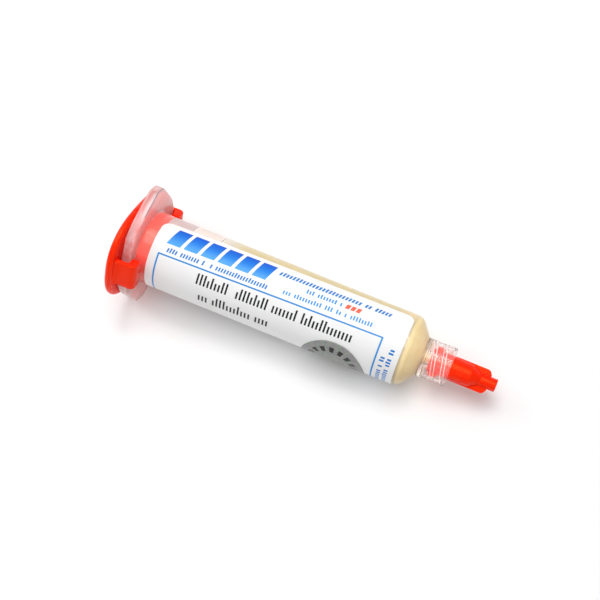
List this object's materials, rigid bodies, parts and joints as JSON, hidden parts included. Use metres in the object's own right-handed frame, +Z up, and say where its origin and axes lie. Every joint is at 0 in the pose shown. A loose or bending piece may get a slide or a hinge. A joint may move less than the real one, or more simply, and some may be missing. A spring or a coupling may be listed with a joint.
{
  "type": "flux syringe",
  "caption": "Capped dispensing barrel filled with paste flux, with an eared flange, a clip-on end cap, a wiper piston and a winged tip cap.",
  "frame": {"origin": "bottom centre of the bounding box, on the surface that the syringe lies on", "axes": "+X from the flange towards the tip, +Z up; the barrel's axis lies in the XZ plane and dips a few degrees towards the tip"},
  "size_m": [0.098, 0.0314, 0.0279],
  "materials": {
    "barrel": "natural translucent moulded polypropylene",
    "end_cap": "orange-red moulded polyethylene, semi-gloss",
    "piston": "white moulded polyethylene",
    "flux_paste": "cream-yellow paste, soft sheen",
    "tip_cap": "orange-red moulded polyethylene, semi-gloss",
    "label": "white coated label with blue and black print",
    "seal_sticker": "silvery iridescent film"
  },
  "bodies": {
    "barrel": {"barrel": "barrel", "label": "label", "seal_sticker": "seal_sticker", "flux_paste": "flux_paste"},
    "end_cap": {"end_cap": "end_cap"},
    "piston": {"piston": "piston"},
    "tip_cap": {"tip_cap": "tip_cap"}
  },
  "joints": [
    {"name": "end_cap_pull", "type": "slide", "parent": "barrel", "child": "end_cap", "axis": [-0.9978, 0, 0.0667], "range_m": [0, 0.036]},
    {"name": "piston_push", "type": "slide", "parent": "barrel", "child": "piston", "axis": [0.9978, 0, -0.0667], "range_m": [0, 0.0485], "deforming": ["flux_paste"]},
    {"name": "tip_cap_pull", "type": "slide", "parent": "barrel", "child": "tip_cap", "axis": [0.9978, 0, -0.0667], "range_m": [0, 0.018]}
  ]
}
